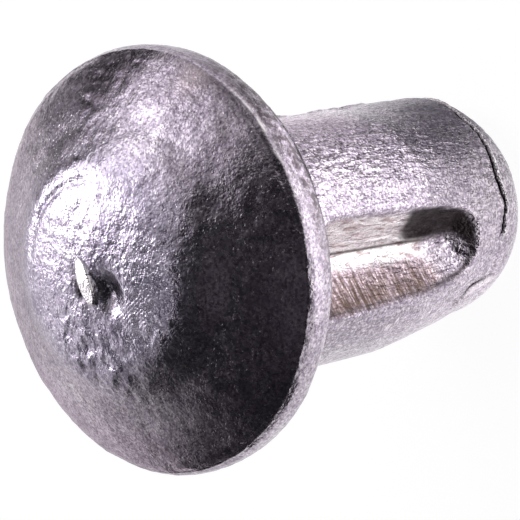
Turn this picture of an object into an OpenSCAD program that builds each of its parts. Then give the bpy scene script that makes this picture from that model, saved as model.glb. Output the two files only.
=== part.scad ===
// Round-head drive stud with three pressed grooves.
// One cold-formed piece of steel. It stands on the flat end of its nose:
// the origin is the centre of that end face, and +Z points up to the head.

/* [Head] */
// Diameter of the head across the rim
head_d = 9.9; // [8.4:0.1:12]
// Height of the head from its bearing face to the crown
head_h = 2.75; // [2.3:0.05:3.3]
// Height of the rim band, from the bearing face to the dome's edge
rim_h = 0.95; // [0.7:0.05:1.3]
// How far the rim band bulges past the dome's edge
rim_bulge = 0.06; // [0.04:0.01:0.2]
// Radius of the round at the rim's lower edge
rim_round = 0.3; // [0.1:0.05:0.5]
// Height that the dome's arc would reach above the rim, if it weren't flattened
dome_rise = 1.75; // [1.5:0.05:2.6]

/* [Crown] */
// Diameter of the flattened crown
crown_d = 5.2; // [3.6:0.1:6]
// Radius of the crown's shallow arc
crown_arc = 15; // [12:0.5:40]
// Radius of the round at the crown's edge
crown_round = 0.35; // [0.1:0.05:0.5]

/* [Crown mark] */
// Length of the raised ridge on the crown
ridge_l = 1.15; // [0.8:0.05:1.6]
// Thickness of the ridge at its middle
ridge_w = 0.4; // [0.25:0.05:0.6]
// Height of the ridge above the crown
ridge_h = 0.12; // [0.05:0.01:0.2]
// Direction in which the ridge runs, seen from above, in degrees
ridge_turn = 33; // [0:1:175]
// Middle of the ridge, to the right of the stud's axis
ridge_x = -0.2; // [-0.6:0.05:0.6]
// Middle of the ridge, behind the stud's axis
ridge_y = 0.25; // [-0.6:0.05:0.6]
// Diameter of the pit beside the ridge
pit_d = 0.8; // [0.5:0.05:1.2]
// Depth of the pit
pit_depth = 0.2; // [0.1:0.01:0.3]
// Distance from the ridge to the middle of the pit, across the ridge
pit_off = 0.5; // [0.3:0.05:0.8]
// Distance from the ridge's middle to the pit's, along the ridge
pit_slide = -0.35; // [-0.5:0.05:0.5]

/* [Shank] */
// Diameter of the shank below the head, as drawn
shank_d = 6.2; // [5.4:0.1:7.2]
// How far pressing the grooves swells the shank past that, on the radius
swell = 0.05; // [0.02:0.01:0.05]
// Length from the bearing face to the end face
shank_l = 10; // [9:0.5:20]
// Radius of the fillet between the shank and the head
neck_fillet = 0.3; // [0.1:0.05:0.5]
// Diameter of the nose where the lead-in ends
nose_d = 5.6; // [5:0.1:6]
// Length of the tapered lead-in above the nose
lead_l = 2.9; // [1:0.1:3.5]
// Length of the rounded nose
nose_l = 1.5; // [1:0.1:2]
// Diameter of the flat end face
end_d = 4.3; // [2.5:0.1:4.6]

/* [Grooves] */
// Number of grooves, spaced evenly
grooves = 3; // [1:1:4]
// Angle between a groove's two flanks, in degrees
groove_angle = 95; // [80:1:100]
// Depth of a groove where it starts below the head
groove_depth_head = 1.25; // [0.9:0.05:1.4]
// Depth of a groove where it ends above the nose
groove_depth_nose = 0.95; // [0.6:0.05:1.2]
// Full-round collar of shank between the head and the grooves
collar_l = 1; // [0.8:0.1:2]
// Length over which the collar widens to the grooved shank
swell_l = 0.3; // [0.2:0.05:0.4]
// Distance from the end face to the nearer end of a groove
groove_stop = 2.3; // [2:0.1:3]
// Radius at the bottom of a groove
groove_root = 0.12; // [0.05:0.01:0.3]

/* [Seam] */
// How far the folded seam round the nose lies below the top of the nose
seam_drop = 0.1; // [0.05:0.05:0.5]
// Width of the seam at the surface
seam_w = 0.09; // [0.05:0.01:0.15]
// Depth of the seam
seam_depth = 0.14; // [0.08:0.01:0.25]
// Angle round the nose that the seam covers, in degrees
seam_sweep = 88; // [30:2:180]
// Where the seam starts, in degrees from the first groove's middle
seam_start = -2; // [-60:2:60]

/* [Hidden] */
$fn = 96;
steel = [0.56, 0.53, 0.55];

head_r = head_d / 2;
crown_r = crown_d / 2;
shank_r = shank_d / 2;
body_r = shank_r + swell;   // the grooved stretch
nose_r = nose_d / 2;
end_r = end_d / 2;
neck_in = shank_r / 2;   // the head and the shank overlap inside this radius
spare = 0.1;             // how far a cutter stands out past the surface it cuts

// Radius of the arc over a chord: half the chord and the arc's height give it
function arc_radius(half_chord, rise) = (half_chord * half_chord + rise * rise) / (2 * rise);

rim_arc = arc_radius(rim_h / 2, rim_bulge);
dome_edge_r = head_r - rim_bulge;
dome_arc = arc_radius(dome_edge_r, dome_rise);
nose_arc = arc_radius(nose_l, nose_r - end_r);
ridge_arc = arc_radius(ridge_l / 2, ridge_w / 2);
pit_arc = arc_radius(pit_d / 2, pit_depth);

// Heights above the end face
seat_z = shank_l;
lead_top = nose_l + lead_l;
collar_z = seat_z - collar_l;
swell_z = collar_z - swell_l;
seam_z = nose_l - seam_drop;

// Half the mouth of a groove whose bottom runs at radius r:
// a flank climbs from there at half the groove's angle until it meets the shank's circle
function mouth_half(r) =
    let (c = 1 / tan(groove_angle / 2))
    (-c * r + sqrt(c * c * r * r - (1 + c * c) * (r * r - body_r * body_r))) / (1 + c * c);

floor_head = body_r - groove_depth_head;
floor_nose = body_r - groove_depth_nose;
floor_head_z = (collar_z + swell_z) / 2 - mouth_half(floor_head);
floor_nose_z = groove_stop + mouth_half(floor_nose);
floor_rise = floor_nose - floor_head;
floor_run = floor_head_z - floor_nose_z;
groove_h = groove_depth_head + spare;

// Dome, rim band and rounded lower edge, as half a section with its base on the X axis
module head_section() {
    intersection() {
        translate([0, rim_h + dome_rise - dome_arc]) circle(r = dome_arc, $fn = 360);
        union() {
            translate([head_r - rim_arc, rim_h / 2]) circle(r = rim_arc, $fn = 180);
            square([head_r - rim_arc, head_h]);
        }
        union() {
            square([head_r - rim_round, head_h]);
            translate([0, rim_round]) square([head_r, head_h]);
            translate([head_r - rim_round, rim_round]) circle(r = rim_round, $fn = 48);
        }
        square([head_r, rim_h + dome_height(crown_r)]);
    }
}

// Height of the dome above the rim at radius r
function dome_height(r) = dome_rise - dome_arc + sqrt(dome_arc * dome_arc - r * r);

// Height of the crown's arc at radius r, above the bearing face
function crown_height(r) = head_h - crown_arc + sqrt(crown_arc * crown_arc - r * r);

// Flattened crown with a rounded edge, as half a section
module crown_section() {
    edge_x = crown_r - crown_round;
    edge_z = crown_height(edge_x) - crown_round;
    intersection() {
        translate([0, head_h - crown_arc]) circle(r = crown_arc, $fn = 720);
        union() {
            square([edge_x, head_h]);
            translate([edge_x, edge_z]) circle(r = crown_round, $fn = 48);
            square([crown_r, edge_z]);
        }
        square([crown_r, head_h]);
    }
}

// Where the ridge and its pit lie on the crown
module place_mark() {
    translate([ridge_x, ridge_y, 0]) rotate([0, 0, ridge_turn]) children();
}

// Lens-shaped ridge on the crown
module crown_ridge() {
    crown_z = crown_height(norm([ridge_x, ridge_y]));
    lens_sink = ridge_l / 2 - ridge_h;
    translate([0, 0, crown_z - lens_sink]) intersection() {
        translate([0, ridge_arc - ridge_w / 2, 0]) sphere(r = ridge_arc);
        translate([0, ridge_w / 2 - ridge_arc, 0]) sphere(r = ridge_arc);
    }
}

// Shallow pit beside the ridge
module crown_pit() {
    crown_z = crown_height(norm([ridge_x, ridge_y]));
    translate([pit_slide, -pit_off, crown_z + pit_arc - pit_depth]) sphere(r = pit_arc);
}

module head() {
    color(steel) translate([0, 0, seat_z]) {
        difference() {
            rotate_extrude() union() {
                head_section();
                crown_section();
            }
            place_mark() crown_pit();
        }
        place_mark() crown_ridge();
    }
}

// Collar, swollen shank, lead-in, rounded nose and the fillet under the head, as half a section
module shank_section() {
    translate([0, collar_z]) square([shank_r, collar_l]);
    polygon([
        [0, nose_l], [nose_r, nose_l], [body_r, lead_top],
        [body_r, swell_z], [shank_r, collar_z], [0, collar_z]
    ]);
    intersection() {
        translate([nose_r - nose_arc, nose_l]) circle(r = nose_arc, $fn = 180);
        square([nose_r, nose_l]);
    }
    square([nose_r - nose_arc + spare, nose_l]);
    translate([neck_in, seat_z]) square([shank_r - neck_in, rim_h / 2]);
    difference() {
        translate([neck_in, seat_z - neck_fillet])
            square([shank_r + neck_fillet - neck_in, neck_fillet]);
        translate([shank_r + neck_fillet, seat_z - neck_fillet]) circle(r = neck_fillet, $fn = 48);
    }
}

// One groove cutter: a V with a rounded bottom, and a cone of the same section at each end.
// Its floor climbs towards the nose, so that the groove is deeper and wider near the head.
module groove_half() {
    half = groove_angle / 2;
    tangent = groove_root / tan(half);
    intersection() {
        union() {
            polygon([
                [0, tangent * cos(half)],
                [tangent * sin(half), tangent * cos(half)],
                [groove_h * tan(half), groove_h],
                [0, groove_h]
            ]);
            translate([0, groove_root / sin(half)]) circle(r = groove_root, $fn = 32);
        }
        square([groove_h * tan(half), groove_h]);
    }
}

module groove() {
    length = sqrt(floor_run * floor_run + floor_rise * floor_rise);
    translate([0, -floor_nose, floor_nose_z]) rotate([-atan2(floor_rise, floor_run), 0, 0]) {
        linear_extrude(length) for (side = [0, 1]) mirror([side, 0]) mirror([0, 1]) groove_half();
        for (z = [0, length])
            translate([0, 0, z]) rotate([90, 0, 0]) rotate_extrude() groove_half();
    }
}

// Thin fold that runs part of the way round the nose
module seam() {
    start = -90 + seam_start;
    seam_r = nose_r - nose_arc + sqrt(nose_arc * nose_arc - pow(nose_l - seam_z, 2));
    rotate([0, 0, start]) rotate_extrude(angle = seam_sweep) polygon([
        [seam_r - seam_depth, seam_z],
        [seam_r + spare, seam_z - seam_w],
        [seam_r + spare, seam_z + seam_w]
    ]);
}

module shank() {
    color(steel) difference() {
        rotate_extrude() shank_section();
        for (i = [0 : grooves - 1]) rotate([0, 0, 360 / grooves * i]) groove();
        seam();
    }
}

module stud() {
    union() {
        head();
        shank();
    }
}

stud();
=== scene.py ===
import math

import bpy
import numpy as np
from mathutils import Matrix, Vector, noise


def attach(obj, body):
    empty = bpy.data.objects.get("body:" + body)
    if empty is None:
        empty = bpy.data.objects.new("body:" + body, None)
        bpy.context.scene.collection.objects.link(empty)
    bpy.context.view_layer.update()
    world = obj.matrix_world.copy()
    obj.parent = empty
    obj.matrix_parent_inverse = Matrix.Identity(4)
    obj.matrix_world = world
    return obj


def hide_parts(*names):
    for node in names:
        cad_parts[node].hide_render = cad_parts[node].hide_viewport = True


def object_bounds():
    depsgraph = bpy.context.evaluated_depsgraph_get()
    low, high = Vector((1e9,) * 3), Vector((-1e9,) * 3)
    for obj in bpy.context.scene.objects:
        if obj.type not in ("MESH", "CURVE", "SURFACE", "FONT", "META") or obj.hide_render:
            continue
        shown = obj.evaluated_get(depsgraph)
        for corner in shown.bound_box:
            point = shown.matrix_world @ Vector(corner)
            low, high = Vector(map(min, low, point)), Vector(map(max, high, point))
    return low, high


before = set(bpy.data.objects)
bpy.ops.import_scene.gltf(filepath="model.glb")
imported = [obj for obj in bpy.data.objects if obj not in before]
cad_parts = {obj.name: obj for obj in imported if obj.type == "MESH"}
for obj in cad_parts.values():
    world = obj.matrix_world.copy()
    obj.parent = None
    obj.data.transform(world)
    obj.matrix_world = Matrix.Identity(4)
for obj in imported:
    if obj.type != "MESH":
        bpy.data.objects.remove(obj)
cadLow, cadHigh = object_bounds()
mm = 0.001
print("frame loaded")


# small helpers for shapes and masks

def smoothStep(low, high, value):
    t = np.clip((value - low) / (high - low), 0, 1)
    return t * t * (3 - 2 * t)


def hill(value, middle, width):
    return np.exp(-((value - middle) / width) ** 2)


def band(value, low, high):
    # 1 between two soft ends, each given as where it's 0 and where it's 1
    return smoothStep(*low, value) * smoothStep(*high, value)


def turnFrom(azimuths, middle):
    return (azimuths - middle + 180) % 360 - 180


def lumpiness(places, size, seed, octaves):
    # soft noise from -1 to 1 over a grid of places, its lumps about that many millimetres wide
    shift = Vector((seed * 17.3, seed * -9.1, seed * 5.7))
    values = [noise.fractal(Vector(p) / size + shift, 0.8, 2.1, octaves) for p in places.reshape(-1, 3)]
    return np.array(values).reshape(places.shape[:-1])


# All forms are in millimetres: radius from the stud's axis, height above its end face,
# and azimuth in degrees from +X. A side is an azimuth and how far round it reaches,
# a spot is an azimuth, a distance from the axis, a size and a share.

head = {
    "radius": 4.95, "height": 2.75, "rimHeight": 0.95, "rimBulge": 0.06, "rimRound": 0.3,
    "domeRise": 1.75, "crownRadius": 2.6, "crownArc": 15.0,
    # the crown runs softly into the dome, more softly on two sides, and reaches further on one
    "crownSoft": 0.55, "softMore": 0.35, "softSides": [(0, 50), (-52, 28)],
    "crownGrow": 0.28, "growSide": (-82, 50),
    "ridgeAt": (-0.175, 0.11), "ridgeTurn": 33.0, "ridgeLength": 1.15, "ridgeWidth": 0.4,
    "ridgeHeight": 0.12, "ridgeFlank": (1.25, 0.85), "ridgeFall": 0.55, "ridgeTip": (0.03, 0.04),
    # the pit on one side of the ridge and the shallow dip on the other
    "pitAcross": ((-1.0, -0.5), (-0.1, -0.44)), "pitAlong": (-0.46, 0.42), "pitDepth": 0.2,
    "dipAcross": ((0.17, 0.24), (0.56, 0.34)), "dipAlong": (-0.12, 0.42), "dipDepth": 0.02,
    "lumps": 0.022, "dents": 0.015, "pecks": 0.006,
    "crumple": 0.05, "crumpleSpots": [(152, 1.6, 0.65, 1), (180, 2.1, 0.6, 1), (-155, 2.1, 0.7, 1),
                                      (-115, 2.1, 0.6, 0.6), (40, 1.6, 0.9, 0.4)],
    "pitted": 0.05, "pittedMore": 0.1,
    "pittedSpots": [(14, 4.36, 0.5, 1), (20, 4.0, 0.45, 1), (7, 4.6, 0.35, 1)],
    "nick": 0.06, "nickSpot": (154.6, 0.6, 0.11, 1),
    # a low ring and the hollow inside it: radius, width and share
    "ring": 0.045, "ringSide": (45, 42), "ringTop": (2.45, 0.18, 0.5), "ringHollow": (2.12, 0.09, 1.1),
    # the lip on the dome's edge, the side where the edge isn't worn round, and the rim's inward taper
    "lip": 0.03, "lipSide": (-44, 24), "lipWidth": 0.07, "lipHollow": 0.5,
    "crispSide": (-35, 55), "worn": 0.05, "wornWidth": 0.16,
    "tuck": 0.07, "tuckHeights": (0.6, 0.1), "tuckRadii": (3.6, 4.5),
}
shank = {
    "radius": 3.10, "swell": 0.05, "length": 10.0, "collar": 1.0, "swellLength": 0.3, "fillet": 0.3,
    "noseRadius": 2.8, "leadTop": 4.4, "noseTop": 1.5, "endRadius": 2.15,
    # how far two long sides of the shank stand off its circle, as pairs of height and distance
    "topAt": 14.0, "topSide": [(0, 0.02), (0.3, 0.03), (0.7, 0.08), (1.2, 0.08), (1.7, 0.03), (1.95, -0.03),
                               (2.1, 0.0), (2.6, -0.07), (3.1, -0.12), (3.4, -0.17), (3.8, -0.27),
                               (4.3, -0.31), (5.5, -0.33), (8.5, -0.22), (9.7, -0.12)],
    "lowAt": -158.0, "lowSide": [(0, 0.02), (0.65, -0.06), (1.5, -0.09), (2.3, 0.0), (3.5, 0.045),
                                 (4.5, 0.03), (5.8, 0.04), (9.7, 0.04)],
    "sideWidth": 42.0, "lumps": 0.02,
    # crinkles: their least share all round, and what one side and a place by the nose add to it
    "crinkle": 0.021, "crinkleShare": (0.25, 0.75), "crinkleSide": (-35, 18), "crinkleLength": 0.42,
    "crinkleDepths": (0.0, 0.05),
    "noseCrinkle": 0.8, "noseCrinkleSide": (-42, 34), "noseCrinkleHeights": (3.4, 2.4),
}
groove = {
    "count": 3, "first": -90.0, "flank": 47.5, "floorHead": 1.90, "floorNose": 2.20,
    "headEnd": 8.85, "noseEnd": 2.3, "headRun": 1.25, "noseRun": 0.95,
    # the floor is rounded, more so in the bowl at the nose's end
    "rootSoft": 0.085, "rootSink": 0.55, "bowlSoft": 0.12, "bowlHeights": (5.2, 3.6), "edgeSoft": 0.03,
    "lip": 0.045, "lipWidth": 0.10, "lipReach": 0.9, "lipWave": 0.8,
    "hammer": 0.05, "hammerDepths": (0.05, 0.3), "hammerTop": (4.6, 3.4), "hammerFoot": (2.55, 2.95),
}
seam = {
    # azimuth and height of the fold's line round the nose
    "line": [(-93, 1.46), (-88.5, 1.35), (-83, 1.32), (-76.6, 1.20), (-70.7, 1.29), (-62.6, 1.36),
             (-55.7, 1.30), (-48.8, 1.27), (-42.6, 1.20), (-36.3, 1.14), (-31, 1.14), (-24.2, 1.22),
             (-16.5, 1.18), (-7, 1.09), (4, 1.01), (12, 0.99)],
    "width": 0.055, "depth": 0.12, "jag": 0.035, "jagTurn": 60,
    "lip": 0.045, "lipAt": (-0.09, 0.05), "lipWave": (0.8, 0.8),
    # how many degrees from its two ends the fold starts and stops fading
    "startFade": (-1, 3), "endFade": (-6, 0),
    # height and azimuth of a second, small lap's line
    "lap": [(1.2, -114.6), (1.5, -115.3), (1.78, -115.6), (2.04, -116.8), (2.26, -117.6), (2.4, -120),
            (2.46, -126)],
    "lapWidth": 0.07, "lapDepth": 0.11, "lapJag": 0.12, "lapEnds": ((1.0, 1.5), (2.62, 2.42)),
    "lapLip": 0.08, "lapLipAt": (-0.14, 0.08), "lapLipWave": (0.7, 1.6),
}
noises = {
    # size, seed and octaves of each unevenness
    "broad": (2.6, 3, 2), "dents": (0.55, 5, 3), "pecks": (0.17, 6, 2), "crumpled": (0.30, 31, 3),
    "pitted": (0.22, 15, 2), "wave": (1.1, 9, 3), "hammered": (0.2, 12, 2), "dimples": (0.19, 41, 2),
    "jag": (0.07, 21, 3),
}
grid = {
    # rows of points: where one stretch of them meets the next, and how far apart they are
    "axis": 0.03, "topStops": [0.03, 1.2, 2.1, 2.8, 4.55], "topSteps": [0.042, 0.08, 0.05, 0.078, 0.034],
    "rimStep": 0.055, "rimRoundRows": 6, "seatStep": 0.13, "filletRows": 5,
    "shankStops": [1.7, 0.8, 0], "shankSteps": [0.082, 0.034, 0.07], "endRows": 12,
    # columns from groove to groove, and rows over which head and shank run into each other
    "columnsPerGroove": 118, "crowdRows": (14, 8), "headFadeRows": 22, "shankFadeRows": (2, 6),
    # how far the mesh stays inside the plain solid's rim and top
    "insideRim": 0.012, "insideTop": 0.002,
}

seatZ = shank["length"]
bodyR = shank["radius"] + shank["swell"]      # the grooved stretch
domeEdgeR = head["radius"] - head["rimBulge"]
slack = 1e-4                                  # for telling which row a place is on


def domeHeight(r):
    arc = (domeEdgeR * domeEdgeR + head["domeRise"] ** 2) / (2 * head["domeRise"])
    return head["rimHeight"] + head["domeRise"] - arc + np.sqrt(np.maximum(arc * arc - r * r, 0))


def crownHeight(r):
    return head["height"] - head["crownArc"] + np.sqrt(head["crownArc"] ** 2 - r * r)


def topHeight(r):
    t = smoothStep(head["crownRadius"] - head["crownSoft"], head["crownRadius"] + head["crownSoft"], r)
    return crownHeight(r) * (1 - t) + domeHeight(r) * t


def spread(start, end, step):
    return np.linspace(start, end, max(2, int(round(abs(end - start) / step)) + 1))[:-1]


def stretches(stops, steps):
    return np.concatenate([spread(*run) for run in zip(stops, stops[1:], steps)])


def makeProfile():
    # rows of (radius, height) from the middle of the crown to the middle of the end face
    rows = [(r, seatZ + topHeight(r)) for r in stretches(grid["topStops"] + [domeEdgeR], grid["topSteps"])]
    bulgeArc = ((head["rimHeight"] / 2) ** 2 + head["rimBulge"] ** 2) / (2 * head["rimBulge"])
    for z in spread(head["rimHeight"], head["rimRound"], grid["rimStep"]):
        bulge = math.sqrt(bulgeArc ** 2 - (z - head["rimHeight"] / 2) ** 2)
        rows.append((head["radius"] - bulgeArc + bulge, seatZ + z))
    for turned in np.linspace(0, math.pi / 2, grid["rimRoundRows"] + 1)[:-1]:
        r = head["rimRound"]
        rows.append((head["radius"] - r + r * math.cos(turned), seatZ + r - r * math.sin(turned)))
    fillet = shank["fillet"]
    neck = shank["radius"] + fillet
    rows += [(r, seatZ) for r in spread(head["radius"] - head["rimRound"], neck, grid["seatStep"])]
    for turned in np.linspace(0, math.pi / 2, grid["filletRows"] + 1)[:-1]:
        rows.append((neck - fillet * math.sin(turned), seatZ - fillet * (1 - math.cos(turned))))
    taper = shank["noseRadius"] - shank["endRadius"]
    noseArc = (shank["noseTop"] ** 2 + taper ** 2) / (2 * taper)
    collarLow = seatZ - shank["collar"]
    swollenTo = collarLow - shank["swellLength"]
    for z in stretches([seatZ - fillet] + grid["shankStops"], grid["shankSteps"]):
        if z > shank["noseTop"]:
            r = np.interp(z, [shank["noseTop"], shank["leadTop"], swollenTo, collarLow],
                          [shank["noseRadius"], bodyR, bodyR, shank["radius"]])
        else:
            r = shank["noseRadius"] - noseArc + math.sqrt(noseArc ** 2 - (shank["noseTop"] - z) ** 2)
        rows.append((r, z))
    rows += [(r, 0.0) for r in np.linspace(shank["endRadius"], grid["axis"], grid["endRows"])]
    return np.array(rows, float)


profile = makeProfile()
rowNumber = np.arange(len(profile))
rowR, rowZ = profile[:, 0], profile[:, 1]
rowStep = np.gradient(profile, axis=0)
rowStep /= np.linalg.norm(rowStep, axis=1)[:, None]
rowNormal = np.stack([-rowStep[:, 1], rowStep[:, 0]], 1)      # points outwards
rowLength = np.concatenate([[0], np.cumsum(np.linalg.norm(np.diff(profile, axis=0), axis=1))])
edgeRow = int(np.argmax(rowR > domeEdgeR - slack))
neckRow = int(np.argmax(rowZ < seatZ - slack))
endRow = int(np.argmax(rowZ <= slack))
columns = grid["columnsPerGroove"] * groove["count"]
sector = 360 / groove["count"]
grooveMiddles = [groove["first"] + sector * i for i in range(groove["count"])]
grooveSlope = math.tan(math.radians(groove["flank"]))
noseFloorZ = groove["noseEnd"] + groove["noseRun"]
headFloorZ = groove["headEnd"] - groove["headRun"]


def grooveFloor(z):
    return np.interp(z, [noseFloorZ, headFloorZ], [groove["floorNose"], groove["floorHead"]])


def grooveHalfAngle(z):
    # where the flanks meet the shank's circle
    tries = np.radians(np.linspace(1, 46, 200))
    flank = grooveFloor(z)[:, None] * grooveSlope / (np.cos(tries) * grooveSlope - np.sin(tries))
    return np.degrees(tries[np.argmin(np.abs(flank - bodyR), axis=1)])


def makeColumns():
    # columns crowd between a groove's two edges, and are even round the head
    share = np.linspace(-1, 1, grid["columnsPerGroove"], endpoint=False)
    above, below = grid["crowdRows"]
    crowded = smoothStep(neckRow - above, neckRow, rowNumber) \
        * (1 - smoothStep(endRow, endRow + below, rowNumber))
    half = sector / 4 + (grooveHalfAngle(rowZ) - sector / 4) * crowded
    inner = np.abs(share) < 0.5
    near = np.where(inner, np.abs(share) * 2, (np.abs(share) - 0.5) * 2)
    turn = np.where(inner[None], near[None] * half[:, None],
                    half[:, None] + near[None] * (sector / 2 - half[:, None]))
    turn = turn * np.sign(share)[None]
    return np.concatenate([turn + middle for middle in grooveMiddles], axis=1)


angle = makeColumns()
rad = np.radians(angle)
gridR = np.repeat(rowR[:, None], columns, 1)
gridZ = np.repeat(rowZ[:, None], columns, 1)
x, y = gridR * np.cos(rad), gridR * np.sin(rad)
surface = np.stack([x, y, gridZ], -1)
print("grid", len(profile), "x", columns, "triangles", 2 * len(profile) * columns)


def onSide(azimuth, width):
    return hill(turnFrom(angle, azimuth), 0, width)


def spot(azimuth, radius, size, share):
    turned = math.radians(azimuth)
    apart = (x - radius * math.cos(turned)) ** 2 + (y - radius * math.sin(turned)) ** 2
    return share * (isTop * np.exp(-apart / size ** 2))


def spots(places):
    return np.clip(sum(spot(*place) for place in places), 0, 1)


# the head's own unevenness, out along the profile's normal

isTop = (rowNumber < edgeRow)[:, None]
onHead = (1 - smoothStep(edgeRow + grid["headFadeRows"], neckRow, rowNumber))[:, None]
before, after = grid["shankFadeRows"]
onShank = smoothStep(neckRow - before, neckRow + after, rowNumber)[:, None] \
    * (1 - smoothStep(endRow, endRow + after, rowNumber))[:, None]
broad = lumpiness(surface, *noises["broad"])
dents = lumpiness(surface, *noises["dents"])
pecks = lumpiness(surface, *noises["pecks"])
out = onHead * (head["lumps"] * broad + head["dents"] * dents + head["pecks"] * pecks)

# ridge with its pit
ridgeX, ridgeY = x - head["ridgeAt"][0], y - head["ridgeAt"][1]
ridgeTurn = math.radians(head["ridgeTurn"])
along = ridgeX * math.cos(ridgeTurn) + ridgeY * math.sin(ridgeTurn)
across = -ridgeX * math.sin(ridgeTurn) + ridgeY * math.cos(ridgeTurn)
halfLength = head["ridgeLength"] / 2
halfWidth = head["ridgeWidth"] / 2 * np.sqrt(np.maximum(1 - (along / halfLength) ** 2, 0))
thinnest, tipWidth = head["ridgeTip"]
ridge = smoothStep(*head["ridgeFlank"], np.abs(across) / np.maximum(halfWidth, thinnest)) \
    * smoothStep(0, tipWidth, halfWidth) * (1 - head["ridgeFall"] * along / halfLength)
pitBowl = band(across, *head["pitAcross"]) * hill(along, *head["pitAlong"])
besideRidge = band(across, *head["dipAcross"]) * hill(along, *head["dipAlong"])
out = out + isTop * (head["ridgeHeight"] * ridge - head["pitDepth"] * pitBowl
                     - head["dipDepth"] * besideRidge)

# rumpled spots, a low ring near the crown's edge and a nick
crumpled = lumpiness(surface, *noises["crumpled"])
out = out + head["crumple"] * crumpled * spots(head["crumpleSpots"])
ringR, ringWidth, ringShare = head["ringTop"]
hollowR, hollowWidth, hollowShare = head["ringHollow"]
out = out + isTop * onSide(*head["ringSide"]) * head["ring"] \
    * (ringShare * hill(gridR, ringR, ringWidth) - hollowShare * hill(gridR, hollowR, hollowWidth))
out = out - head["nick"] * spot(*head["nickSpot"])

# the crown's edge, softer on two sides and reaching further out on one
grow = head["crownGrow"] * onSide(*head["growSide"])
even = head["crownSoft"]
blend = even + head["softMore"] * sum(onSide(*side) for side in head["softSides"])
wide = smoothStep(0, 1, (gridR - head["crownRadius"] + even) / (2 * even))
wider = smoothStep(0, 1, (gridR - grow - head["crownRadius"] + blend) / (2 * blend))
out = out + isTop * (crownHeight(gridR) - domeHeight(gridR)) * (wide - wider)

pitted = spots(head["pittedSpots"])
out = out - pitted * head["pitted"] \
    * np.clip(lumpiness(surface, *noises["pitted"]) + head["pittedMore"], 0, 1)

# the rim band: a wavy lip on one side, worn round elsewhere, and tapered in towards its lower edge
wave = lumpiness(surface, *noises["wave"])
fromEdge = (rowLength - rowLength[edgeRow])[:, None]
lipWidth = head["lipWidth"]
lipForm = hill(fromEdge, lipWidth, lipWidth) - head["lipHollow"] * hill(fromEdge, -lipWidth, lipWidth)
out = out + head["lip"] * onSide(*head["lipSide"]) * lipForm * (1 + wave)
out = out - head["worn"] * (1 - onSide(*head["crispSide"])) * hill(fromEdge, 0, head["wornWidth"])
tuck = head["tuck"] * smoothStep(*head["tuckHeights"], gridZ - seatZ) \
    * smoothStep(*head["tuckRadii"], gridR) * onHead * (fromEdge > 0)
print("head shaped")


# the shank: long sides, grooves with their lips, crinkles and the fold round the nose

turns = np.stack([turnFrom(angle, middle) for middle in grooveMiddles])
nearest = np.argmin(np.abs(turns), axis=0)
delta = np.radians(np.take_along_axis(turns, nearest[None], 0)[0])
noCut = 99         # stands for a point that no groove reaches
alongside = 0.02   # below this a flank runs nearly along the point's radius and never meets it
deepest = 2
beyond = np.maximum(noseFloorZ - gridZ, 0) + np.maximum(gridZ - headFloorZ, 0)
floor = grooveFloor(rowZ)[:, None] * np.ones_like(gridZ)
rootSoft = groove["rootSoft"] + groove["bowlSoft"] * smoothStep(*groove["bowlHeights"], gridZ)
sine = np.sqrt(np.sin(delta) ** 2 + rootSoft ** 2) - rootSoft * groove["rootSink"]
# radius at which a flank, or a cone past the floor's two ends, meets each point's azimuth
square = (np.cos(delta) * grooveSlope) ** 2 - sine ** 2
linear = np.cos(delta) * floor * grooveSlope ** 2
inside = np.maximum(linear * linear - square * (floor ** 2 * grooveSlope ** 2 - beyond ** 2), 0)
cut = np.where(square > alongside, (linear + np.sqrt(inside)) / np.maximum(square, alongside), noCut)
cut = np.where(onShank > 0.5, cut, noCut)
isCut = cut < noCut / 2

topSide = np.interp(gridZ, *zip(*shank["topSide"])) * onSide(shank["topAt"], shank["sideWidth"])
lowSide = np.interp(gridZ, *zip(*shank["lowSide"])) * onSide(shank["lowAt"], shank["sideWidth"])
land = gridR + onShank * (topSide + lowSide + shank["lumps"] * broad)
gap = cut - land
depth = np.clip(-gap, 0, deepest) * isCut
edgeSoft = groove["edgeSoft"]
shankR = land + np.minimum(gap, 0) - edgeSoft * np.log1p(np.exp(-np.abs(gap) / edgeSoft)) * isCut
lipShape = hill(gap, groove["lipWidth"], groove["lipWidth"] * groove["lipReach"]) * isCut
shankR = shankR + groove["lip"] * lipShape * (1 + groove["lipWave"] * wave)
hammered = lumpiness(surface, *noises["hammered"])
shankR = shankR + groove["hammer"] * hammered * smoothStep(*groove["hammerDepths"], depth) \
    * smoothStep(*groove["hammerTop"], gridZ) * smoothStep(*groove["hammerFoot"], gridZ)

leastCrinkle, moreCrinkle = shank["crinkleShare"]
byNose = shank["noseCrinkle"] * smoothStep(*shank["noseCrinkleHeights"], gridZ) \
    * onSide(*shank["noseCrinkleSide"])
crinkled = onShank * (leastCrinkle + moreCrinkle * np.maximum(onSide(*shank["crinkleSide"]), byNose))
dimples = lumpiness(surface * np.array([1, 1, shank["crinkleLength"]]), *noises["dimples"])
shankR = shankR + shank["crinkle"] * dimples * crinkled * (1 - smoothStep(*shank["crinkleDepths"], depth))


def wavy(even, more):
    # how much of a lip stands at each place
    return np.clip(even + more * wave, 0, 2)


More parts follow.
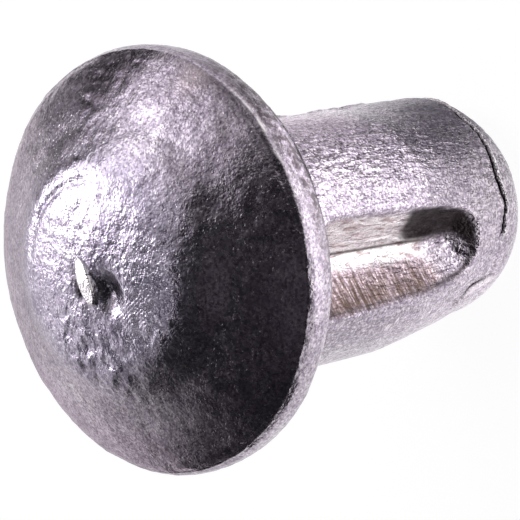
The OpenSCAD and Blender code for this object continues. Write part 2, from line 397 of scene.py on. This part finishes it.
seamAngle, seamHeight = zip(*seam["line"])
jag = lumpiness(np.stack([angle / seam["jagTurn"], 0 * angle, 0 * angle], -1), *noises["jag"])
lineZ = np.interp(angle, seamAngle, seamHeight) + seam["jag"] * jag
onSeam = smoothStep(*[seamAngle[0] + fade for fade in seam["startFade"]], angle) \
    * (1 - smoothStep(*[seamAngle[-1] + fade for fade in seam["endFade"]], angle))
offSeam = gridZ - lineZ
seamCut = hill(offSeam, 0, seam["width"]) * onSeam * onShank
seamLip = hill(offSeam, *seam["lipAt"]) * onSeam * onShank * wavy(*seam["lipWave"])
lapHeight, lapAngle = zip(*seam["lap"])
offLap = np.radians(turnFrom(angle, np.interp(gridZ, lapHeight, lapAngle))) * gridR + seam["lapJag"] * jag
onLap = band(gridZ, *seam["lapEnds"]) * onShank
lapCut = hill(offLap, 0, seam["lapWidth"]) * onLap
lapLip = hill(offLap, *seam["lapLipAt"]) * onLap * wavy(*seam["lapLipWave"])
shankR = shankR - seam["depth"] * seamCut + seam["lip"] * seamLip \
    - seam["lapDepth"] * lapCut + seam["lapLip"] * lapLip

# both together, kept just inside the plain solid
pointR = np.where(onShank > 0, shankR, gridR) + out * rowNormal[:, 0:1] - tuck
pointZ = gridZ + out * rowNormal[:, 1:2]
points = np.stack([pointR * np.cos(rad), pointR * np.sin(rad), pointZ], -1)
tooWide = np.maximum(np.hypot(points[..., 0], points[..., 1]) / (head["radius"] - grid["insideRim"]), 1)
points[..., 0] /= tooWide
points[..., 1] /= tooWide
points[..., 2] = np.clip(points[..., 2], 0, cadHigh.z / mm - grid["insideTop"])
print("shank shaped")


def makeMesh(name, places, masks):
    count, around = places.shape[:2]
    ends = [places[0].mean(0), places[-1].mean(0)]
    vertices = np.concatenate([places.reshape(-1, 3), ends]) * mm
    i, j = np.meshgrid(np.arange(count - 1), np.arange(around), indexing="ij")
    k = (j + 1) % around
    quads = np.stack([i * around + j, (i + 1) * around + j, (i + 1) * around + k, i * around + k], -1)
    j = np.arange(around)
    k = (j + 1) % around
    top, end = count * around, count * around + 1
    last = (count - 1) * around
    faces = [tuple(quad) for quad in quads.reshape(-1, 4).tolist()]
    faces += [(top, int(one), int(two)) for one, two in zip(j, k)]
    faces += [(end, int(two) + last, int(one) + last) for one, two in zip(j, k)]
    mesh = bpy.data.meshes.new(name)
    mesh.from_pydata(vertices.tolist(), [], faces)
    for maskName, values in masks.items():
        full = np.concatenate([values.reshape(-1), [values[0].mean(), values[-1].mean()]])
        mesh.attributes.new(maskName, "FLOAT", "POINT").data.foreach_set("value", full.astype(np.float32))
    mesh.polygons.foreach_set("use_smooth", np.ones(len(faces), bool))
    mesh.update()
    mesh.validate()
    piece = bpy.data.objects.new(name, mesh)
    bpy.context.scene.collection.objects.link(piece)
    return piece


marks = {
    # the first groove's flanks: depth in the groove, degrees from its middle, and height; its steep end and
    # its root get painted shade, and every groove's lower edge a painted shadow
    "rustDepths": (0.03, 0.2), "rustTurns": (-3.5, -20), "rustHeights": (3.3, 4.6),
    "otherRust": 0.35, "otherRustDepths": (0.0, 0.35),
    "wallDepths": (0.0, 0.12), "wallTurns": (-1, 5), "wallHeights": (4.75, 4.35),
    "wallTurnMore": 9, "wallTurnHeights": (3.0, 2.5), "wallLean": 0.035, "wallWave": 0.15,
    "flakyDepths": (0.05, 0.25), "flakyTurns": (-11, -4), "flakyHeights": (3.7, 4.4),
    "creaseTurn": (1.4, 1.2), "creaseDepths": (0.1, 0.3), "creaseHeights": (3.6, 4.2),
    "shadowGap": (-0.08, 0.07), "shadowTurns": (2, -8),
    # the head: stains on its spots, painted shade round the rim, scratches, shine on the rim's lip
    "stainSpot": (-59, 2.3, 0.25, 0.7), "stainPitted": 0.7,
    "rimShade": (-34, 24), "rimShadeFrom": (0.06, 0.16), "lineShade": (-38, 18), "lineShadeAt": (-0.06, 0.05),
    "lowShade": (-54, 24), "lowShadeFrom": (0.2, 0.5),
    "warmSpot": (-16.5, 4.72, 0.4, 1), "scratchSpots": [(-120, 1.4, 0.4, 1), (-112, 1.6, 0.35, 1)],
    "crownRadii": (3.1, 2.2), "outerRadii": (3.3, 4.4), "outerShare": (0.3, 0.7), "outerSide": (150, 75),
    "shineSide": (-40, 10), "shineAt": 0.035, "shineWave": 0.02, "shineBroken": (0.6, 3.0), "lapShine": 1.3,
    "hookAcross": (-0.2, 0.26), "hookAlong": (-0.76, 0.12), "hookShade": 0.9, "dipShade": 0.7,
    # painted shade on the shank's upper side near the head
    "neckSide": (-10, 20), "neckHeights": (4.2, 6.0),
}
flankTurn = np.degrees(delta)
firstGroove = nearest == 0
# painted shade on the rim band: over its upper part, in a line at the dome's edge, and over its lower part
rimShade = onSide(*marks["rimShade"]) * smoothStep(*marks["rimShadeFrom"], fromEdge)
rimShade = rimShade + onSide(*marks["lineShade"]) * hill(fromEdge, *marks["lineShadeAt"])
rimShade = rimShade + onSide(*marks["lowShade"]) * smoothStep(*marks["lowShadeFrom"], fromEdge)
wallTurn = flankTurn + marks["wallTurnMore"] * smoothStep(*marks["wallTurnHeights"], gridZ)
wallZ = gridZ - marks["wallLean"] * flankTurn + marks["wallWave"] * wave
evenShine, dentShine = marks["shineBroken"]
rimShine = hill(fromEdge, marks["shineAt"] + marks["shineWave"] * wave, marks["shineAt"]) \
    * (evenShine + dentShine * dents) * onSide(*marks["shineSide"])
hook = marks["hookShade"] * hill(across, *marks["hookAcross"]) * hill(along, *marks["hookAlong"])
leastOuter, moreOuter = marks["outerShare"]
masks = {
    "rustSide": smoothStep(*marks["rustDepths"], depth) * smoothStep(*marks["rustTurns"], flankTurn)
    * firstGroove * smoothStep(*marks["rustHeights"], gridZ)
    + marks["otherRust"] * smoothStep(*marks["otherRustDepths"], depth) * ~firstGroove,
    # painted shade: the first groove's steep end by the nose made almost black
    "grooveWallShade": smoothStep(*marks["wallDepths"], depth) * smoothStep(*marks["wallTurns"], wallTurn)
    * firstGroove * smoothStep(*marks["wallHeights"], wallZ),
    "flaky": smoothStep(*marks["flakyDepths"], depth) * smoothStep(*marks["flakyTurns"], flankTurn)
    * firstGroove * smoothStep(*marks["flakyHeights"], gridZ),
    # painted shade along the first groove's root
    "creaseShade": hill(flankTurn, *marks["creaseTurn"]) * smoothStep(*marks["creaseDepths"], depth)
    * firstGroove * smoothStep(*marks["creaseHeights"], gridZ),
    # painted shadow just inside each groove's lower edge
    "edgeShadow": hill(gap, *marks["shadowGap"]) * isCut * smoothStep(*marks["shadowTurns"], flankTurn),
    "seamLine": np.maximum(seamCut, lapCut),
    "lipShine": np.clip(seamLip + marks["lapShine"] * lapLip + rimShine, 0, 1),
    # real stains on the pitted spots and one other spot, together with painted shade beside the ridge and
    # round the rim
    "stainAndShade": np.clip(marks["stainPitted"] * pitted + spot(*marks["stainSpot"]) + isTop * besideRidge
                     + onHead * rimShade, 0, 1),
    "warm": spot(*marks["warmSpot"]),
    "scratch": spots(marks["scratchSpots"]),
    "pitShade": isTop * np.clip(pitBowl + marks["dipShade"] * besideRidge + hook, 0, 1),
    # painted highlight on the ridge's top
    "ridgeHighlight": isTop * ridge,
    "onCrown": isTop * smoothStep(*marks["crownRadii"], gridR),
    "outerDome": isTop * smoothStep(*marks["outerRadii"], gridR)
    * (leastOuter + moreOuter * onSide(*marks["outerSide"])),
    "onShank": onShank * np.ones_like(gridR),
    # painted shade with a purple tone on the shank's upper side near the head
    "neckShade": onShank * smoothStep(*marks["neckHeights"], gridZ) * onSide(*marks["neckSide"]),
    "crinkled": crinkled,
}
stud = makeMesh("studBody", points, masks)
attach(stud, "root")
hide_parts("stud")
print("mesh made", len(stud.data.polygons))


# small helpers for nodes

def addNode(tree, kind, **values):
    node = tree.nodes.new(kind)
    for key, value in values.items():
        setattr(node, key, value)
    return node


def mathNode(tree, operation, first, second=None, clamp=False):
    node = addNode(tree, "ShaderNodeMath", operation=operation, use_clamp=clamp)
    for socket, value in zip(node.inputs, (first, second)):
        if isinstance(value, (int, float)):
            socket.default_value = value
        elif value is not None:
            tree.links.new(value, socket)
    return node.outputs[0]


def mixColors(tree, factor, first, second, blend="MIX"):
    node = addNode(tree, "ShaderNodeMix", data_type="RGBA", blend_type=blend)
    for socket, value in ((node.inputs[0], factor), (node.inputs[6], first), (node.inputs[7], second)):
        if isinstance(value, tuple):
            socket.default_value = (*value, 1)
        else:
            tree.links.new(value, socket)
    return node.outputs[2]


def noiseNode(tree, vector, scale, detail, rough, distortion=0.0):
    node = addNode(tree, "ShaderNodeTexNoise")
    tree.links.new(vector, node.inputs["Vector"])
    node.inputs["Scale"].default_value = scale
    node.inputs["Detail"].default_value = detail
    node.inputs["Roughness"].default_value = rough
    node.inputs["Distortion"].default_value = distortion
    return node.outputs["Fac"]


def rampNode(tree, value, low, high, lowOut=0.0, highOut=1.0):
    node = addNode(tree, "ShaderNodeMapRange", clamp=True)
    tree.links.new(value, node.inputs[0])
    for i, number in enumerate((low, high, lowOut, highOut)):
        node.inputs[i + 1].default_value = number
    return node.outputs[0]


def mappingNode(tree, vector, scale, rotation=(0, 0, 0)):
    node = addNode(tree, "ShaderNodeMapping")
    node.inputs["Scale"].default_value = scale
    node.inputs["Rotation"].default_value = rotation
    tree.links.new(vector, node.inputs["Vector"])
    return node.outputs[0]


def bumpNode(tree, height, distance, normal=None):
    node = addNode(tree, "ShaderNodeBump")
    node.inputs["Strength"].default_value = 1.0
    node.inputs["Distance"].default_value = distance
    tree.links.new(height, node.inputs["Height"])
    if normal is not None:
        tree.links.new(normal, node.inputs["Normal"])
    return node.outputs[0]


steel = {
    # bare metal, what lies on it, painted shade for the groove's steep end, root and lower edge, the rim and
    # the pit, painted highlights for the lips and the ridge, and tints that multiply it
    "dark": (0.29, 0.245, 0.315), "middle": (0.505, 0.442, 0.52), "light": (0.80, 0.725, 0.80),
    "peck": (0.17, 0.14, 0.175), "highlight": (0.96, 0.90, 0.93), "gritAndShade": (0.042, 0.034, 0.036),
    "rust": (0.20, 0.132, 0.105), "oldRust": (0.105, 0.075, 0.066), "rustTint": (1.0, 0.91, 0.86),
    "flakeLight": (1.0, 0.96, 0.97), "flakeDark": (0.46, 0.35, 0.345), "wallShade": (0.03, 0.021, 0.023),
    "creaseShade": (0.07, 0.05, 0.047), "stainAndShade": (0.085, 0.068, 0.08), "warm": (0.86, 0.70, 0.70),
    "seam": (0.012, 0.01, 0.011), "domeTint": (1.0, 0.93, 0.975), "crownTint": (0.975, 0.995, 1.03),
    # painted shade with a purple tone for the shank's upper side near the head
    "neckShadeTint": (0.80, 0.70, 0.78),
    # noises: lumps to a millimetre, detail, roughness and distortion; the drawn ones run along the axis
    "cloud": (0.55, 4, 0.55), "mottle": (3.2, 5, 0.65), "grain": (6.0, 2.0, 0.65), "fine": (15.0, 1.0, 0.6),
    "speck": (13.0, 1.0, 0.5), "pecks": (12.5, 2, 0.65), "scores": (1.0, 2, 0.6),
    "drawnLength": 230, "streak": (3.6, 3, 0.62, 0.6), "crinkle": (6.5, 2, 0.6, 0.2),
    "flake": (9.0, 2, 0.6, 0.3), "facet": (7.5, 2, 0.55, 0.3),
    # the scores across the groove and the scratches on the crown
    "scoreTurn": -22, "scoreScale": (1.6, 1.6, 15), "scratchLines": (50.32, 54.02, 0), "scratchWaver": 9.0,
    # what each noise adds to the shade from dark to light: the range it's read over, then what it gives
    "cloudShade": (0.35, 0.65, -0.2, 0.2), "mottleShade": (0.3, 0.7, 0.35, 0.65),
    "grainShade": (0.3, 0.7, -0.2, 0.2), "fineShade": (0.3, 0.7, -0.36, 0.36), "shankShade": (1.0, 1.5),
    "peckShare": (0.65, 0.35), "edgeShadowShare": 0.95, "creaseShare": 0.95, "crinkleShare": 0.85,
    "shineShare": 0.8, "warmShare": 0.4, "pitShare": 0.7, "rustMore": 0.27, "rustRange": (0.52, 0.84),
    "roughness": (0.33, 0.17), "rustRough": 0.2, "wallRough": 0.3,
    # heights in shares of grainHeight, which like streakHeight is in metres
    "grainHeight": 0.000014, "streakHeight": 0.0001, "grainShare": 1.1, "fineShare": (0.5, 0.95),
    "speckShare": -0.3, "scratchShare": 0.16, "foldShare": -1.5, "facetShare": 2.4, "scoreShare": 1.6,
    "headShare": 0.82,
}


def makeSteel():
    material = bpy.data.materials.new("wornSteel")
    material.use_nodes = True
    tree = material.node_tree
    shader = tree.nodes["Principled BSDF"]

    def times(first, second):
        return mathNode(tree, "MULTIPLY", first, second)

    def plus(first, second, clamp=False):
        return mathNode(tree, "ADD", first, second, clamp)

    def ramp(value, *numbers):
        return rampNode(tree, value, *numbers)

    def mask(name):
        return addNode(tree, "ShaderNodeAttribute", attribute_name=name).outputs["Fac"]

    def texture(name, vector):
        return noiseNode(tree, vector, *steel[name])

    place = addNode(tree, "ShaderNodeTexCoord").outputs["Object"]
    point = mappingNode(tree, place, (1000, 1000, 1000))      # millimetres
    drawn = mappingNode(tree, place, (1000, 1000, steel["drawnLength"]))
    onShankMask, onCrownMask = mask("onShank"), mask("onCrown")
    rustMask, wallShadeMask = mask("rustSide"), mask("grooveWallShade")
    cloud, mottle, grain = texture("cloud", point), texture("mottle", point), texture("grain", point)
    fine, speck, streak = texture("fine", point), texture("speck", point), texture("streak", drawn)
    crinkle = mathNode(tree, "ABSOLUTE", mathNode(tree, "SUBTRACT", texture("crinkle", drawn), 0.5))
    crinkle = times(times(ramp(crinkle, 0.06, 0.0), ramp(mottle, 0.36, 0.5)), mask("crinkled"))
    turned = (0, math.radians(steel["scoreTurn"]), 0)
    scored = texture("scores", mappingNode(tree, point, steel["scoreScale"], turned))

    # the bare metal's shade
    shade = plus(ramp(cloud, *steel["cloudShade"]), ramp(mottle, *steel["mottleShade"]))
    shade = plus(shade, ramp(grain, *steel["grainShade"]))
    fineShade = times(ramp(fine, *steel["fineShade"]), ramp(onShankMask, 0, 1, *steel["shankShade"]))
    shade = plus(shade, fineShade, clamp=True)
    color = mixColors(tree, ramp(shade, 0.0, 0.5), steel["dark"], steel["middle"])
    color = mixColors(tree, ramp(shade, 0.5, 1.0), color, steel["light"])

    # what lies on it, with painted shade and painted highlights among it, from the bottom up
    rustSpread = ramp(plus(scored, times(rustMask, steel["rustMore"])), *steel["rustRange"])
    rustSpread = times(rustSpread, ramp(rustMask, 0.0, 0.15))
    rust = mixColors(tree, ramp(mottle, 0.35, 0.65), steel["oldRust"], steel["rust"])
    flakeEdges = ramp(texture("flake", drawn), 0.52, 0.62)
    flakes = mixColors(tree, flakeEdges, steel["flakeLight"], steel["flakeDark"])
    pecked = ramp(texture("pecks", point), 0.53, 0.62)
    layers = [
        (times(pecked, ramp(onCrownMask, 0, 1, *steel["peckShare"])), steel["peck"], "MIX"),
        (ramp(rustMask, 0.0, 0.4), steel["rustTint"], "MULTIPLY"),
        (rustSpread, rust, "MIX"),
        (times(mask("flaky"), ramp(grain, 0.3, 0.55, 0.6, 1.0)), flakes, "MIX"),
        # painted shade on the first groove's steep end by the nose
        (times(wallShadeMask, ramp(mottle, 0.35, 0.6, 1.0, 0.95)), steel["wallShade"], "MIX"),
        # painted shadow just inside each groove's lower edge
        (times(mask("edgeShadow"), steel["edgeShadowShare"]), steel["gritAndShade"], "MIX"),
        # painted shade along the first groove's root
        (times(mask("creaseShade"), steel["creaseShare"]), steel["creaseShade"], "MIX"),
        (times(crinkle, steel["crinkleShare"]), steel["gritAndShade"], "MIX"),
        (times(mask("lipShine"), steel["shineShare"]), steel["highlight"], "MIX"),
        # stains together with painted shade beside the ridge and round the rim
        (times(mask("stainAndShade"), ramp(grain, 0.38, 0.58, 0.35, 1.0)), steel["stainAndShade"], "MIX"),
        (mask("outerDome"), steel["domeTint"], "MULTIPLY"),
        (onCrownMask, steel["crownTint"], "MULTIPLY"),
        # painted shade with a purple tone on the shank's upper side near the head
        (mask("neckShade"), steel["neckShadeTint"], "MULTIPLY"),
        (times(mask("warm"), steel["warmShare"]), steel["warm"], "MIX"),
        (ramp(mask("seamLine"), 0.3, 0.6), steel["seam"], "MIX"),
        (times(mask("pitShade"), steel["pitShare"]), steel["gritAndShade"], "MIX"),
        # painted highlight on the ridge's top
        (ramp(mask("ridgeHighlight"), 0.4, 0.7), steel["highlight"], "MIX"),
    ]
    for factor, paint, blendType in layers:
        color = mixColors(tree, factor, color, paint, blendType)
    tree.links.new(color, shader.inputs["Base Color"])

    shader.inputs["Metallic"].default_value = 1.0
    rough = ramp(mottle, 0.3, 0.7, *steel["roughness"])
    rough = plus(rough, times(rustSpread, steel["rustRough"]), clamp=True)
    rough = plus(rough, times(wallShadeMask, steel["wallRough"]), clamp=True)
    tree.links.new(rough, shader.inputs["Roughness"])

    # grain and fine marks as bump
    lines = addNode(tree, "ShaderNodeVectorMath", operation="DOT_PRODUCT")
    tree.links.new(point, lines.inputs[0])
    lines.inputs[1].default_value = steel["scratchLines"]
    wavering = plus(lines.outputs["Value"], times(mottle, steel["scratchWaver"]))
    scratches = times(mathNode(tree, "SINE", wavering), mask("scratch"))
    fineMask = mathNode(tree, "MAXIMUM", onCrownMask, times(onShankMask, 0.9))
    height = plus(times(grain, steel["grainShare"]), times(fine, ramp(fineMask, 0, 1, *steel["fineShare"])))
    height = plus(height, ramp(speck, 0.62, 0.72, 0.0, steel["speckShare"]))
    for part, share in ((scratches, "scratchShare"), (crinkle, "foldShare"),
                        (times(texture("facet", drawn), mask("crinkled")), "facetShare"),
                        (times(scored, rustMask), "scoreShare")):
        height = plus(height, times(part, steel[share]))
    height = times(height, ramp(onShankMask, 0, 1, steel["headShare"], 1.0))
    normal = bumpNode(tree, height, steel["grainHeight"])
    normal = bumpNode(tree, times(streak, onShankMask), steel["streakHeight"], normal)
    tree.links.new(normal, shader.inputs["Normal"])
    return material


stud.data.materials.append(makeSteel())
print("steel made")


# the stage: camera, white floor, world, cards and a lamp

view = {
    "at": (14.4546, -42.1083, 53.8221), "lens": 188.47, "sensor": 36, "clip": (0.002, 5),
    # as the camera sees the nose: its angle off the line of sight and its swing up from the right,
    # both in radians, and then the stud's turn on its own axis in degrees
    "tip": 0.763386, "swing": 0.198660, "turn": -70.5,
}


def cameraTurn():
    # columns: the camera's right, up and back, in the stud's frame
    tip, swing, turned = view["tip"], view["swing"], math.radians(view["turn"])
    nose = np.array([math.sin(tip) * math.cos(swing), math.sin(tip) * math.sin(swing), -math.cos(tip)])
    down = np.array([math.sin(swing), -math.cos(swing), 0])
    facing = np.cross(down, nose)
    front = np.array([math.cos(turned), math.sin(turned), 0])
    right = np.array([-math.sin(turned), math.cos(turned), 0])
    return (np.outer(facing, front) + np.outer(-down, right) + np.outer(-nose, [0, 0, 1])).T


turnMatrix = cameraTurn()
camera = bpy.data.objects.new("camera", bpy.data.cameras.new("camera"))
bpy.context.scene.collection.objects.link(camera)
camera.matrix_world = Matrix.Translation(Vector(view["at"]) * mm) @ Matrix(turnMatrix.tolist()).to_4x4()
camera.data.lens = view["lens"]
camera.data.sensor_width = view["sensor"]
camera.data.clip_start, camera.data.clip_end = view["clip"]
bpy.context.scene.camera = camera

studio = {
    "middle": (0, 0, 7.5),
    "floorReach": 600, "floorDrop": 0.02, "floorColor": 0.92, "floorGlow": 1.22, "glowShare": 0.75,
    # the sky's strength at the horizon and from that height up
    "skyHeights": (0.0, 0.6), "skyStrengths": (0.85, 0.2),
    "lampFrom": (-0.9, 0.35, 0.35), "lampDistance": 110, "lampSize": 60, "lampPower": 0.02,
}
# cards that only the metal mirrors. In the air: direction from the stud as right, up and towards
# the camera, then distance, size, colour, and the share of the size from which it fades out
airCards = {
    "leftWide": ((-1.0, 0.16, 0.10), 60, (180, 190), (0.95, 0.94, 0.98), 0.1),
    "softLeft": ((-1.0, 0.11, -0.02), 58, (31, 27), (7.6, 7.5, 7.6), 0.5),
    "dimLeft": ((-0.89, -0.31, 0.34), 52, (50, 40), (0.045, 0.045, 0.065), 0.35),
    "softTop": ((-0.80, 0.47, 0.28), 56, (46, 36), (2.3, 2.28, 2.38), 0.1),
    "softLow": ((-0.93, -0.33, -0.10), 50, (12, 13), (2.4, 2.35, 2.4), 0.1),
    "softLowRight": ((-0.76, -0.40, 0.50), 50, (14, 16), (1.7, 1.67, 1.72), 0.2),
    "softRight": ((-0.78, 0.17, 0.60), 49, (17, 14), (0.74, 0.73, 0.78), 0.8),
    "softFarRight": ((-0.69, 0.20, 0.69), 48, (20, 17), (0.52, 0.505, 0.55), 0.85),
    "softTopRight": ((-0.55, 0.51, 0.66), 47, (17, 18), (0.60, 0.585, 0.62), 0.9),
    "faintFront": ((-0.03, -0.42, 0.91), 47, (30, 44), (0.055, 0.05, 0.058), 0.7),
    "greyLow": ((-0.69, -0.61, -0.37), 38, (15, 13), (0.42, 0.39, 0.42), 0.6),
    "softUpLeft": ((-0.79, 0.45, -0.42), 47, (9, 9), (0.42, 0.405, 0.43), 0.8),
    "darkUpLeft": ((-0.60, 0.62, -0.50), 54, (84, 74), (0.02, 0.019, 0.02), 0.4),
    "darkFront": ((-0.10, -0.46, 0.87), 51, (182, 160), (0.016, 0.0155, 0.018), 0.78),
    "darkLow": ((0.1, -1.0, -0.12), 40, (96, 84), (0.02, 0.02, 0.022), 0.45),
}
# flat above the floor: middle, size, colour and fade
floorCards = {
    "glowRight": ((8.4, -6.6, 0.12), (15, 15), (3.3, 3.25, 3.3), 0.3),
    "glowRim": ((5, -21, 0.11), (40, 34), (2.1, 2.06, 2.1), 0.3),
    "floorDim": ((20, 10, 0.11), (34, 34), (0.76, 0.735, 0.77), 0.4),
    "floorFar": ((-45, 75, 0.10), (170, 130), (0.68, 0.65, 0.68), 0.7),
    "glowTop": ((3.6, 6.2, 0.12), (7, 7), (1.6, 1.57, 1.6), 0.2),
    "greyFlag": ((4.9, -1.2, 0.15), (9.6, 7.8), (0.17, 0.168, 0.19), 0.3),
    "glowLow": ((-3.0, -3.2, 0.14), (18, 10), (1.25, 1.22, 1.25), 0.2),
}


def seenFrom(direction):
    # a direction given as right, up and towards the camera, in the stud's frame
    return Vector((turnMatrix @ np.array(direction, float)).tolist()).normalized()


def makePlane(name, w, h):
    # a flat plane with an empty material of its own
    mesh = bpy.data.meshes.new(name)
    mesh.from_pydata([(-w, -h, 0), (w, -h, 0), (w, h, 0), (-w, h, 0)], [], [(0, 1, 2, 3)])
    plane = bpy.data.objects.new(name, mesh)
    bpy.context.scene.collection.objects.link(plane)
    material = bpy.data.materials.new(name)
    material.use_nodes = True
    material.node_tree.nodes.clear()
    mesh.materials.append(material)
    return plane, material.node_tree


def mixShaders(tree, factor, first, second):
    mix = addNode(tree, "ShaderNodeMixShader")
    tree.links.new(factor, mix.inputs[0])
    tree.links.new(first.outputs[0], mix.inputs[1])
    tree.links.new(second.outputs[0], mix.inputs[2])
    tree.links.new(mix.outputs[0], addNode(tree, "ShaderNodeOutputMaterial").inputs[0])


def makeCard(name, place, toward, size, color, soft):
    # an oval card that only reflections see, fading out from that share of its size to its edge
    w, h = size[0] / 2 * mm, size[1] / 2 * mm
    card, tree = makePlane(name, w, h)
    side = seenFrom((0, 1, 0)).cross(toward).normalized()
    facing = Matrix((side, toward.cross(side), toward)).transposed().to_4x4()
    card.matrix_world = Matrix.Translation(place * mm) @ facing
    local = addNode(tree, "ShaderNodeTexCoord").outputs["Object"]
    share = mappingNode(tree, local, (1 / w, 1 / h, 1))
    reach = addNode(tree, "ShaderNodeVectorMath", operation="LENGTH")
    tree.links.new(share, reach.inputs[0])
    fade = addNode(tree, "ShaderNodeMapRange", interpolation_type="SMOOTHSTEP")
    tree.links.new(reach.outputs["Value"], fade.inputs["Value"])
    fade.inputs["From Min"].default_value, fade.inputs["From Max"].default_value = 1.0, soft
    glow = addNode(tree, "ShaderNodeEmission")
    glow.inputs["Color"].default_value = (*color, 1)
    mixShaders(tree, fade.outputs["Result"], addNode(tree, "ShaderNodeBsdfTransparent"), glow)
    card.visible_camera = False
    card.visible_shadow = False
    card.visible_diffuse = False


def makeFloor():
    reach = studio["floorReach"] * mm
    floorPlane, tree = makePlane("floor", reach, reach)
    floorPlane.location.z = -studio["floorDrop"] * mm
    matte = addNode(tree, "ShaderNodeBsdfDiffuse")
    matte.inputs["Color"].default_value = (*[studio["floorColor"]] * 3, 1)
    glow = addNode(tree, "ShaderNodeEmission")
    glow.inputs["Strength"].default_value = studio["floorGlow"]
    path = addNode(tree, "ShaderNodeLightPath")
    seen = mathNode(tree, "MAXIMUM", path.outputs["Is Camera Ray"], path.outputs["Is Glossy Ray"])
    seen = mathNode(tree, "MAXIMUM", seen, path.outputs["Is Transmission Ray"])
    mixShaders(tree, mathNode(tree, "MULTIPLY", seen, studio["glowShare"]), matte, glow)


def makeWorld():
    world = bpy.data.worlds.new("studio")
    bpy.context.scene.world = world
    world.use_nodes = True
    tree = world.node_tree
    sky = tree.nodes["Background"]
    sky.inputs["Color"].default_value = (1, 1, 1, 1)
    upward = addNode(tree, "ShaderNodeSeparateXYZ")
    tree.links.new(addNode(tree, "ShaderNodeTexCoord").outputs["Generated"], upward.inputs[0])
    strength = rampNode(tree, upward.outputs["Z"], *studio["skyHeights"], *studio["skyStrengths"])
    tree.links.new(strength, sky.inputs["Strength"])


def makeLamp():
    lampData = bpy.data.lights.new("keyLamp", "AREA")
    lampData.size = studio["lampSize"] * mm
    lampData.energy = studio["lampPower"]
    lamp = bpy.data.objects.new("keyLamp", lampData)
    bpy.context.scene.collection.objects.link(lamp)
    toward = seenFrom(studio["lampFrom"])
    place = Matrix.Translation(Vector(studio["middle"]) * mm + toward * studio["lampDistance"] * mm)
    lamp.matrix_world = place @ toward.to_track_quat("Z", "Y").to_matrix().to_4x4()
    lamp.visible_camera = False


makeFloor()
makeWorld()
for name, (direction, distance, size, color, soft) in airCards.items():
    toward = seenFrom(direction)
    makeCard(name, Vector(studio["middle"]) + toward * distance, toward, size, color, soft)
for name, (place, size, color, soft) in floorCards.items():
    makeCard(name, Vector(place), Vector((0, 0, 1)), size, color, soft)
makeLamp()
bpy.context.scene.view_settings.view_transform = "Standard"
print("stage set", len(airCards) + len(floorCards), "cards")
